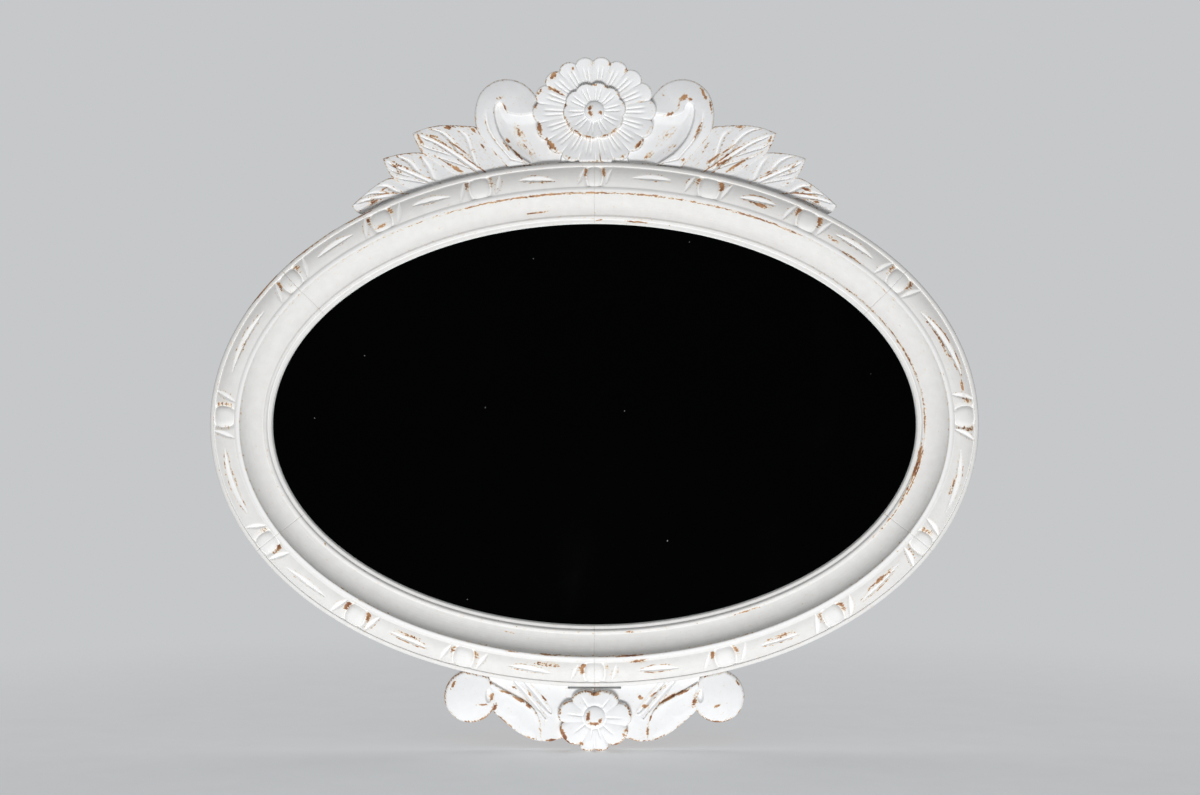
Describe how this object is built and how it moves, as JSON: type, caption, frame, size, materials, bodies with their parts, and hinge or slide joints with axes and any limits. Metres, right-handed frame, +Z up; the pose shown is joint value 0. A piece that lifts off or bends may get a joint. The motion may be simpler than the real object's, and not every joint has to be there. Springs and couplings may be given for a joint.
{
  "type": "oval wall mirror",
  "caption": "Oval wall mirror: a bead-and-gouge carved wooden ring with a leaf and flower crest and a scroll apron, plain glass, a flush backing board and swinging wire hangers.",
  "frame": {"origin": "centre of the oval, on the plane of the back that goes against the wall", "axes": "+Z up, +X to the right seen from the front, +Y into the wall, so the glass faces -Y"},
  "size_m": [0.8, 0.0372, 0.7213],
  "materials": {
    "painted_wood": "matt white chalk paint, rubbed through to brown wood on the edges",
    "bare_wood": "bare, fluted",
    "silvered_glass": "polished",
    "hardboard": "smooth pressed fibre",
    "pin_steel": "bright steel",
    "zinc_plate": "zinc plated",
    "zinc_wire": "zinc plated"
  },
  "bodies": {
    "frame": {"rail_top_left": "painted_wood", "rail_top_right": "painted_wood", "rail_left": "painted_wood", "rail_right": "painted_wood", "rail_bottom_left": "painted_wood", "rail_bottom_right": "painted_wood", "crest_left_wing": "painted_wood", "crest_right_wing": "painted_wood", "crest_flower": "painted_wood", "apron_left_scroll": "painted_wood", "apron_right_scroll": "painted_wood", "apron_flower": "painted_wood", "rail_dowels": "bare_wood", "crest_dowels": "bare_wood", "apron_dowels": "bare_wood", "mirror_glass": "silvered_glass", "backing_board": "hardboard", "backing_pins": "pin_steel", "hanger_left_strap": "zinc_plate", "hanger_right_strap": "zinc_plate", "hanger_screws": "zinc_plate"},
    "left_ring": {"hanger_left_ring": "zinc_wire"},
    "right_ring": {"hanger_right_ring": "zinc_wire"}
  },
  "joints": [
    {"name": "left_ring_swing", "type": "hinge", "parent": "frame", "child": "left_ring", "pos_m": [-0.26315, 0.00285, 0.18838], "axis": [1, 0, 0], "range_deg": [0, 180]},
    {"name": "right_ring_swing", "type": "hinge", "parent": "frame", "child": "right_ring", "pos_m": [0.26315, 0.00285, 0.18838], "axis": [1, 0, 0], "range_deg": [0, 180]}
  ]
}
